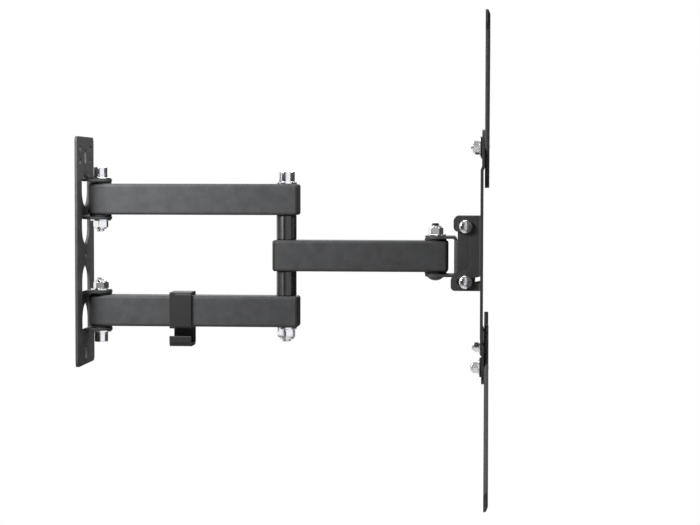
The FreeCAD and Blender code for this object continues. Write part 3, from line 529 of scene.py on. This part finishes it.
class Field:
    """A value that varies over a surface; Python's operators on it add Math nodes."""

    def __init__(self, finish, socket):
        self.finish = finish
        self.socket = socket

    def maths(self, operation, *others):
        values = {i + 1: value for i, value in enumerate(others)}
        values[0] = self
        node = self.finish.node("ShaderNodeMath", {"operation": operation}, values)
        return Field(self.finish, node.outputs[0])

    def __add__(self, other):
        return self.maths("ADD", other)

    __radd__ = __add__

    def __mul__(self, other):
        return self.maths("MULTIPLY", other)

    def __sub__(self, other):
        return self.maths("SUBTRACT", other)

    def __rsub__(self, other):
        return (self * -1.0) + other

    def above(self, edge, width):
        """0 below the edge, 1 above it, smooth over the width."""
        node = self.finish.node("ShaderNodeMapRange", {"interpolation_type": "SMOOTHSTEP"},
                                {"Value": self, "From Min": edge - width / 2, "From Max": edge + width / 2})
        return Field(self.finish, node.outputs["Result"])


class Finish:
    """A material, or a world, under construction."""

    def __init__(self, owner):
        owner.use_nodes = True
        self.tree = owner.node_tree
        self.tree.nodes.clear()

    def node(self, kind, settings=None, values=None):
        made = self.tree.nodes.new(kind)
        for key, value in (settings or {}).items():
            setattr(made, key, value)
        for key, value in (values or {}).items():
            source = value.socket if isinstance(value, Field) else value
            if isinstance(source, bpy.types.NodeSocket):
                self.tree.links.new(source, made.inputs[key])
            else:
                made.inputs[key].default_value = source
        return made

    def place(self):
        """Object coordinates in metres."""
        return self.node("ShaderNodeTexCoord").outputs["Object"]

    def stretched(self, scale):
        return self.node("ShaderNodeMapping", None, {"Vector": self.place(), "Scale": scale}).outputs[0]

    def noise(self, size, detail=2.0, rough=0.5, where=None):
        """Noise whose blobs are about this wide, in metres."""
        node = self.node("ShaderNodeTexNoise", None, {
            "Vector": where or self.place(), "Scale": 1.0 / size, "Detail": detail, "Roughness": rough})
        return Field(self, node.outputs["Fac"])

    def cells(self, size):
        node = self.node("ShaderNodeTexVoronoi", {"feature": "F1"},
                         {"Vector": self.place(), "Scale": 1.0 / size})
        return Field(self, node.outputs["Distance"])

    def blend(self, mask, first, second):
        node = self.node("ShaderNodeMix", {"data_type": "RGBA"}, {"Factor": mask})
        for index, value in ((6, first), (7, second)):
            if isinstance(value, bpy.types.NodeSocket):
                self.tree.links.new(value, node.inputs[index])
            else:
                node.inputs[index].default_value = value
        return node.outputs[2]

    def rounded(self, radius):
        """The surface normal, with sharp edges rounded off, and a mask of those edges."""
        bevel = self.node("ShaderNodeBevel", {"samples": 6}, {"Radius": radius}).outputs[0]
        plain = self.node("ShaderNodeNewGeometry").outputs["Normal"]
        product = self.node("ShaderNodeVectorMath", {"operation": "DOT_PRODUCT"}, {0: bevel, 1: plain})
        edge = (1 - Field(self, product.outputs["Value"])).above(0.06, 0.1)
        return bevel, edge

    def bump(self, height, distance, strength=1.0, normal=None):
        values = {"Height": height, "Distance": distance, "Strength": strength}
        if normal:
            values["Normal"] = normal
        return self.node("ShaderNodeBump", None, values).outputs[0]

    def surface(self, values):
        shader = self.node("ShaderNodeBsdfPrincipled", None, values)
        output = self.node("ShaderNodeOutputMaterial")
        self.tree.links.new(shader.outputs[0], output.inputs["Surface"])


def rgba(colour, level=1.0):
    return (colour[0] * level, colour[1] * level, colour[2] * level, 1.0)


def material(name):
    made = bpy.data.materials.new(name)
    return made, Finish(made)


def powder_coat():
    """Fine textured black powder coat: small round bumps, a faint cloudiness, and edges painted lighter,
    partly as rubbed coat and partly as a painted edge highlight.
    """
    look = bpy.context.scene.mount_finishes
    made, finish = material("textured_powder_coat")
    grain = finish.noise(look.grain, 2.0, 0.55)
    pebbles = finish.cells(look.grain * 1.6)
    cloud = finish.noise(9 * MM, 3.0, 0.6)
    normal, edge = finish.rounded(0.5 * MM)
    tone = (cloud * 0.5 + grain * 0.5).above(0.5, 0.5)
    shade = finish.blend(tone, rgba(look.powder, 0.75), rgba(look.powder, 1.25))
    # Edges painted lighter: partly rubbed coat, partly a painted highlight where light catches the rounded
    # rims.
    rubbed_and_highlit = finish.blend(edge * 0.35, shade, rgba(look.powder, 2.4))
    finish.surface({
        "Base Color": rubbed_and_highlit,
        "Roughness": 0.62 + (grain - 0.5) * 0.22,
        "Normal": finish.bump(grain + pebbles * 0.5, 0.08 * MM, 0.8, normal),
        "Specular IOR Level": 0.22,
    })
    return made


def satin_steel():
    """Smooth satin black on the turned spacer sleeves."""
    look = bpy.context.scene.mount_finishes
    made, finish = material("satin_black")
    rings = finish.noise(0.35 * MM, 1.0, 0.5, finish.stretched((0.02, 0.02, 1.0)))
    cloud = finish.noise(4 * MM, 2.0, 0.5)
    finish.surface({
        "Base Color": finish.blend(cloud, rgba(look.satin, 0.85), rgba(look.satin, 1.2)),
        "Roughness": 0.25 + cloud * 0.06,
        "Anisotropic": 0.88,
        "Anisotropic Rotation": 0.25,
        "Normal": finish.bump(rings, 0.006 * MM, 0.6),
        "Specular IOR Level": 0.75,
    })
    return made


def black_oxide():
    """Oiled black oxide on the carriage bolt: metal that still shines a little."""
    look = bpy.context.scene.mount_finishes
    made, finish = material("black_oxide")
    cloud = finish.noise(1.8 * MM, 3.0, 0.6)
    normal, edge = finish.rounded(0.2 * MM)
    body = finish.blend(cloud, rgba(look.oxide, 0.8), rgba(look.oxide, 1.4))
    finish.surface({
        "Base Color": finish.blend(edge * 0.5, body, rgba(look.oxide, 3.0)),
        "Metallic": 0.85,
        "Roughness": 0.30 + cloud * 0.14,
        "Normal": finish.bump(cloud, 0.01 * MM, 0.4, normal),
    })
    return made


def zinc_plating():
    """Bright zinc with the faint blue and straw cast of its passivation, and fine handling marks."""
    look = bpy.context.scene.mount_finishes
    made, finish = material("bright_zinc")
    cast = finish.noise(3.2 * MM, 2.0, 0.5)
    marks = finish.noise(0.5 * MM, 4.0, 0.65)
    normal, _ = finish.rounded(0.15 * MM)
    straw = (0.80, 0.78, 0.74)
    tinted = finish.blend(cast.above(0.56, 0.25), rgba(look.zinc), rgba(straw))
    finish.surface({
        "Base Color": finish.blend(marks.above(0.62, 0.2) * 0.35, tinted, rgba(look.zinc, 0.62)),
        "Metallic": 1.0,
        "Roughness": 0.07 + marks * 0.12,
        "Normal": finish.bump(marks, 0.008 * MM, 0.35, normal),
    })
    return made


def black_plastic():
    """Moulded black plastic with the fine grain of an eroded mould."""
    look = bpy.context.scene.mount_finishes
    made, finish = material("moulded_black_plastic")
    grain = finish.noise(0.22 * MM, 2.0, 0.6)
    cloud = finish.noise(5 * MM, 2.0, 0.5)
    normal, edge = finish.rounded(0.3 * MM)
    body = finish.blend(cloud, rgba(look.plastic, 0.85), rgba(look.plastic, 1.2))
    finish.surface({
        "Base Color": finish.blend(edge * 0.4, body, rgba(look.plastic, 2.2)),
        "Roughness": 0.5 + (grain - 0.5) * 0.2,
        "Normal": finish.bump(grain, 0.02 * MM, 0.6, normal),
        "Specular IOR Level": 0.3,
    })
    return made


def nylon():
    """The pale nylon of a lock nut's ring."""
    look = bpy.context.scene.mount_finishes
    made, finish = material("lock_ring_nylon")
    cloud = finish.noise(1.2 * MM, 2.0, 0.5)
    finish.surface({
        "Base Color": finish.blend(cloud, rgba(look.nylon, 0.92), rgba(look.nylon, 1.05)),
        "Roughness": 0.42 + cloud * 0.1,
        "Normal": finish.bump(cloud, 0.01 * MM, 0.3),
    })
    return made


MAKERS = {
    "powder_coat": powder_coat,
    "satin_black_steel": satin_steel,
    "black_oxide_steel": black_oxide,
    "zinc_plated_steel": zinc_plating,
    "black_plastic": black_plastic,
    "nylon_ring": nylon,
}
MADE = {}


def finish_of(slot):
    """The material for one of the record's slots, made once."""
    if slot not in MADE:
        MADE[slot] = MAKERS[slot]()
    return MADE[slot]


def dress(piece, *slots):
    """Give a new piece its material slots."""
    piece.data.materials.clear()
    for slot in slots:
        piece.data.materials.append(finish_of(slot))


def settle(piece, node, body):
    """Let a finished piece stand for a node and move with its body."""
    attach(piece, body)
    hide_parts(node)


def lay_nuts(name, node, body, size, across_flats, height, places, spin=0.0):
    """Lock nuts with nylon rings at several places, standing for a node, each spun by some degrees."""
    nut, ring = lock_nut(name, size, across_flats, height)
    dress(nut, "zinc_plated_steel")
    dress(ring, "nylon_ring")
    nut = join(name, nut, ring)
    nut.rotation_euler = (0, 0, math.radians(spin))
    take(nut)
    bpy.ops.object.transform_apply(location=True, rotation=True, scale=True)
    settle(spread(name, nut, places), node, body)


class MOUNT_OT_frame_finishes(bpy.types.Operator):
    """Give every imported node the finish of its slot"""

    bl_idname = "mount.frame_finishes"
    bl_label = "Frame finishes"

    def execute(self, context):
        for piece in NODES.values():
            for slot in piece.material_slots:
                slot.material = finish_of(slot.name.split(".")[0])
        return {"FINISHED"}


class MOUNT_OT_wall_screws(bpy.types.Operator):
    """Two M8 cap screws and lock nuts that carry the rear arms"""

    bl_idname = "mount.wall_screws"
    bl_label = "Wall pivot screws"

    def execute(self, context):
        sizes = context.scene.mount_fasteners
        x = middle("wall_pivot_screws").x
        seat = high("wall_spring_washers").z
        nut_face = high("wall_lock_nuts").z
        head_d = high("wall_pivot_screws").x - low("wall_pivot_screws").x
        head_h = high("wall_pivot_screws").z - seat
        length = seat - (nut_face - M8_NUT_HEIGHT - sizes.stickout)
        screw = socket_screw("wall_pivot_cap_screws", M8, sizes.pitch_m8, head_d, head_h, M8_SOCKET,
                             length, WALL_THREAD)
        dress(screw, "zinc_plated_steel")
        screw = spread("wall_pivot_cap_screws", screw, [((x, 0, seat), UP), ((x, 0, -seat), DOWN)])
        settle(screw, "wall_pivot_screws", "wall_bracket")
        lay_nuts("wall_pivot_nuts", "wall_lock_nuts", "wall_bracket", M8, M8_FLATS, M8_NUT_HEIGHT,
                 [((x, 0, nut_face), DOWN), ((x, 0, -nut_face), UP)], WALL_NUT_SPIN)
        return {"FINISHED"}


class MOUNT_OT_wall_washers(bpy.types.Operator):
    """Four plastic washers that the rear arms turn between"""

    bl_idname = "mount.wall_washers"
    bl_label = "Wall pivot washers"

    def execute(self, context):
        sizes = context.scene.mount_fasteners
        lowest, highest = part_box("wall_friction_washers")
        x = (lowest.x + highest.x) / 2
        arm_top, arm_foot = high("upper_arm").z, low("upper_arm").z
        bore = M8 / 2 + BORE_CLEARANCE
        outer = (highest.x - lowest.x) / 2
        thick = highest.z - arm_top - RUNNING_GAP
        washer = turned("wall_pivot_washers", [(bore, 0), (outer - WASHER_EDGE, 0), (outer, WASHER_EDGE),
                                               (outer, thick - WASHER_EDGE), (outer - WASHER_EDGE, thick),
                                               (bore, thick), (bore, 0)], sizes.facets)
        smooth(washer)
        dress(washer, "black_plastic")
        faces = ((arm_top, UP), (arm_foot, DOWN), (-arm_foot, UP), (-arm_top, DOWN))
        washer = spread("wall_pivot_washers", washer,
                        [((x, 0, z + way[2] * RUNNING_GAP), way) for z, way in faces])
        settle(washer, "wall_friction_washers", "wall_bracket")
        return {"FINISHED"}


class MOUNT_OT_elbow_screw(bpy.types.Operator):
    """The long M10 cap screw through the elbow, with its lock nut"""

    bl_idname = "mount.elbow_screw"
    bl_label = "Elbow screw"

    def execute(self, context):
        sizes = context.scene.mount_fasteners
        lowest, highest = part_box("elbow_screw")
        x = middle("elbow_screw").x
        seat = high("elbow_washers").z
        nut_face = high("elbow_lock_nut").z
        screw = socket_screw("elbow_cap_screw", M10, sizes.pitch_m10, highest.x - lowest.x,
                             highest.z - seat, M10_SOCKET, seat - lowest.z, ELBOW_THREAD)
        dress(screw, "zinc_plated_steel")
        screw = spread("elbow_cap_screw", screw, [((x, 0, seat), UP)])
        settle(screw, "elbow_screw", "rear_arms")
        nut_h = high("elbow_lock_nut").z - low("elbow_lock_nut").z
        lay_nuts("elbow_nut", "elbow_lock_nut", "rear_arms", M10, M10_FLATS, nut_h,
                 [((x, 0, nut_face), DOWN)], ELBOW_NUT_SPIN)
        return {"FINISHED"}


class MOUNT_OT_head_bolt(bpy.types.Operator):
    """The domed carriage bolt of the swivelling head, with its lock nut"""

    bl_idname = "mount.head_bolt"
    bl_label = "Head bolt"

    def execute(self, context):
        sizes = context.scene.mount_fasteners
        lowest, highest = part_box("head_carriage_bolt")
        x = middle("head_carriage_bolt").x
        seat = low("head_flat_washer").z
        bolt = dome_screw("head_dome_bolt", M8, sizes.pitch_m8, highest.x - lowest.x, -seat - lowest.z,
                          highest.z + seat, HEAD_THREAD, square=M8)
        dress(bolt, "black_oxide_steel")
        bolt = spread("head_dome_bolt", bolt, [((x, 0, -seat), DOWN)])
        settle(bolt, "head_carriage_bolt", "swivel_head")
        nut_face = low("head_lock_nut").z
        nut_h = high("head_lock_nut").z - nut_face
        lay_nuts("head_nut", "head_lock_nut", "swivel_head", M8, M8_FLATS, nut_h,
                 [((x, 0, nut_face), UP)], HEAD_NUT_SPIN)
        return {"FINISHED"}


class MOUNT_OT_tilt_screws(bpy.types.Operator):
    """Four cross recessed screws and lock nuts between the swivelling head and the face plate"""

    bl_idname = "mount.tilt_screws"
    bl_label = "Tilt screws"

    def execute(self, context):
        sizes = context.scene.mount_fasteners
        seat = high("tilt_friction_washers").y + sizes.sheet
        inside = high("tilt_lock_nuts").y
        length = seat - inside + M6_NUT_HEIGHT + sizes.stickout / 2
        nut_places = []
        for node, name in (("tilt_pivot_screws", "tilt_pivot_pan_screws"),
                           ("tilt_slot_screws", "tilt_slot_pan_screws")):
            lowest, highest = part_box(node)
            x, _, z = middle(node)
            screw = cross_screw(name, M6, sizes.pitch_m6, highest.x - lowest.x, highest.y - seat,
                                length, SHORT_THREAD)
            dress(screw, "zinc_plated_steel")
            places = [((x, sign * seat, z), (0, sign, 0)) for sign in (-1, 1)]
            nut_places += [((x, sign * inside, z), (0, -sign, 0)) for sign in (-1, 1)]
            settle(spread(name, screw, places), node, "swivel_head")
        lay_nuts("tilt_nuts", "tilt_lock_nuts", "swivel_head", M6, M6_FLATS, M6_NUT_HEIGHT, nut_places)
        return {"FINISHED"}


class MOUNT_OT_adapter_bolts(bpy.types.Operator):
    """Four domed M6 bolts and lock nuts that hold the extension arms"""

    bl_idname = "mount.adapter_bolts"
    bl_label = "Extension arm bolts"

    def execute(self, context):
        sizes = context.scene.mount_fasteners
        lowest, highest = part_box("adapter_bolts")
        head_r = EXTENSION_HEAD_WIDTH / 2
        seat = highest.x - EXTENSION_HEAD_HEIGHT
        nut_face = high("adapter_lock_nuts").x
        nut_h = nut_face - low("adapter_lock_nuts").x
        corners = []
        for y in (lowest.y + head_r, highest.y - head_r):
            for z in (lowest.z + head_r, highest.z - head_r):
                corners.append((y, z))
        bolt = dome_screw("extension_arm_bolts", M6, sizes.pitch_m6, EXTENSION_HEAD_WIDTH,
                          EXTENSION_HEAD_HEIGHT, seat - lowest.x, SHORT_THREAD)
        dress(bolt, "zinc_plated_steel")
        bolt = spread("extension_arm_bolts", bolt, [((seat, y, z), TO_SCREEN) for y, z in corners])
        settle(bolt, "adapter_bolts", "tilting_plate")
        lay_nuts("extension_arm_nuts", "adapter_lock_nuts", "tilting_plate", M6, M6_FLATS, nut_h,
                 [((nut_face, y, z), TO_WALL) for y, z in corners])
        return {"FINISHED"}


def area_lamp(name, place_at, aim_at, size, power):
    """A square lamp turned to a point."""
    deselect()
    bpy.ops.object.light_add(type="AREA", location=place_at)
    lamp = bpy.context.active_object
    lamp.name = name
    lamp.data.size = size
    lamp.data.energy = power
    lamp.rotation_mode = "QUATERNION"
    lamp.rotation_quaternion = (Vector(aim_at) - Vector(place_at)).to_track_quat("-Z", "Y")


class MOUNT_OT_stage(bpy.types.Operator):
    """Pale floor, soft studio lamps and the camera"""

    bl_idname = "mount.stage"
    bl_label = "Stage"

    def floor(self, stage):
        deselect()
        centre = (CAD_BOX[0] + CAD_BOX[1]) / 2
        bpy.ops.mesh.primitive_circle_add(vertices=96, radius=1.5, fill_type="NGON",
                                          location=(centre.x, centre.y, CAD_BOX[0].z - stage.floor_drop))
        floor = fresh("studio_floor")
        bpy.ops.object.transform_apply(location=True, rotation=True, scale=True)
        made, finish = material("floor_paper")
        finish.surface({"Base Color": rgba(stage.floor_colour), "Roughness": 0.9})
        floor.data.materials.append(made)

    def world(self, scene, stage):
        world = bpy.data.worlds.new("studio")
        scene.world = world
        finish = Finish(world)
        rays = finish.node("ShaderNodeLightPath")
        direct = Field(finish, rays.outputs["Is Camera Ray"])
        seen = direct.maths("MAXIMUM", rays.outputs["Is Transmission Ray"])
        glossy = Field(finish, rays.outputs["Is Glossy Ray"])
        way = finish.node("ShaderNodeTexCoord").outputs["Generated"]
        parts = finish.node("ShaderNodeSeparateXYZ", None, {0: way})
        east, north, up = (Field(finish, parts.outputs[axis]) for axis in "XYZ")
        # The bearing is 0 towards the camera and grows to the right.
        bearing = east.maths("ARCTAN2", north * -1.0)
        left_panel = 1 - bearing.above(math.radians(LEFT_PANEL_END), 0.2)
        right_end = 1 - bearing.above(math.radians(RIGHT_PANEL_END), 0.2)
        right_panel = bearing.above(math.radians(RIGHT_PANEL_START), 0.5) * right_end
        near_level = 1 - up.maths("ABSOLUTE").above(PANEL_HEIGHT, 0.3)
        panels = (left_panel + right_panel) * near_level * PANEL_LEVEL
        room = ROOM_LEVEL + panels + up.above(0.6, 0.5) * OVERHEAD_LEVEL
        level = glossy * room + (1 - glossy) * stage.ambient
        strength = seen + (1 - seen) * level
        back = finish.node("ShaderNodeBackground", None, {"Color": (1, 1, 1, 1), "Strength": strength})
        output = finish.node("ShaderNodeOutputWorld")
        finish.tree.links.new(back.outputs[0], output.inputs["Surface"])

    def camera(self, scene, stage):
        data = bpy.data.cameras.new("camera")
        camera = bpy.data.objects.new("camera", data)
        scene.collection.objects.link(camera)
        right_turn, up_turn, roll = stage.camera_turn
        forward = Vector((math.sin(right_turn) * math.cos(up_turn),
                          math.cos(right_turn) * math.cos(up_turn), math.sin(up_turn)))
        level = Vector((math.cos(right_turn), -math.sin(right_turn), 0))
        up = level.cross(forward)
        across = level * math.cos(roll) + up * math.sin(roll)
        upward = up * math.cos(roll) - level * math.sin(roll)
        turn = Matrix((across, upward, -forward)).transposed()
        camera.rotation_mode = "QUATERNION"
        camera.rotation_quaternion = turn.to_quaternion()
        camera.location = stage.camera_place
        data.sensor_width = SENSOR_WIDTH
        data.lens = stage.focal_pixels * SENSOR_WIDTH / IMAGE_WIDTH
        data.clip_start = 0.05
        data.clip_end = 50
        scene.camera = camera

    def execute(self, context):
        stage = context.scene.mount_stage
        self.floor(stage)
        self.world(context.scene, stage)
        area_lamp("key_lamp", (-0.14, -0.31, 0.28), (0.06, 0, 0.05), 0.20, stage.key_power)
        area_lamp("fill_lamp", (1.25, 0.15, 0.75), (0.05, 0, 0.0), 0.6, stage.fill_power)
        area_lamp("back_lamp", (0.30, 1.30, 0.90), (0.2, 0, 0.0), 1.0, stage.back_power)
        area_lamp("top_lamp", (0.15, 0.10, 1.30), (0.2, 0, 0), 0.8, stage.top_power)
        self.camera(context.scene, stage)
        context.scene.view_settings.view_transform = "Standard"
        return {"FINISHED"}


class MOUNT_PT_panel(bpy.types.Panel):
    """The mount's steps and sizes"""

    bl_label = "Wall mount"
    bl_idname = "MOUNT_PT_panel"
    bl_space_type = "VIEW_3D"
    bl_region_type = "UI"
    bl_category = "Wall mount"

    def draw(self, context):
        for step in STEPS:
            self.layout.operator(step.bl_idname)
        for name, group in GROUPS:
            box = self.layout.box()
            for key in group.__annotations__:
                box.prop(getattr(context.scene, name), key)


STEPS = (
    MOUNT_OT_frame_finishes,
    MOUNT_OT_wall_screws,
    MOUNT_OT_wall_washers,
    MOUNT_OT_elbow_screw,
    MOUNT_OT_head_bolt,
    MOUNT_OT_tilt_screws,
    MOUNT_OT_adapter_bolts,
    MOUNT_OT_stage,
)
GROUPS = (
    ("mount_finishes", MountFinishes),
    ("mount_fasteners", MountFasteners),
    ("mount_stage", MountStage),
)


def register():
    for name, group in GROUPS:
        bpy.utils.register_class(group)
        setattr(bpy.types.Scene, name, bpy.props.PointerProperty(type=group))
    for step in STEPS:
        bpy.utils.register_class(step)
    bpy.utils.register_class(MOUNT_PT_panel)


def unregister():
    bpy.utils.unregister_class(MOUNT_PT_panel)
    for step in reversed(STEPS):
        bpy.utils.unregister_class(step)
    for name, group in reversed(GROUPS):
        delattr(bpy.types.Scene, name)
        bpy.utils.unregister_class(group)


def main():
    register()
    bpy.ops.mount.frame_finishes()
    bpy.ops.mount.wall_screws()
    bpy.ops.mount.wall_washers()
    bpy.ops.mount.elbow_screw()
    bpy.ops.mount.head_bolt()
    bpy.ops.mount.tilt_screws()
    bpy.ops.mount.adapter_bolts()
    bpy.ops.mount.stage()


if __name__ == "__main__":
    main()
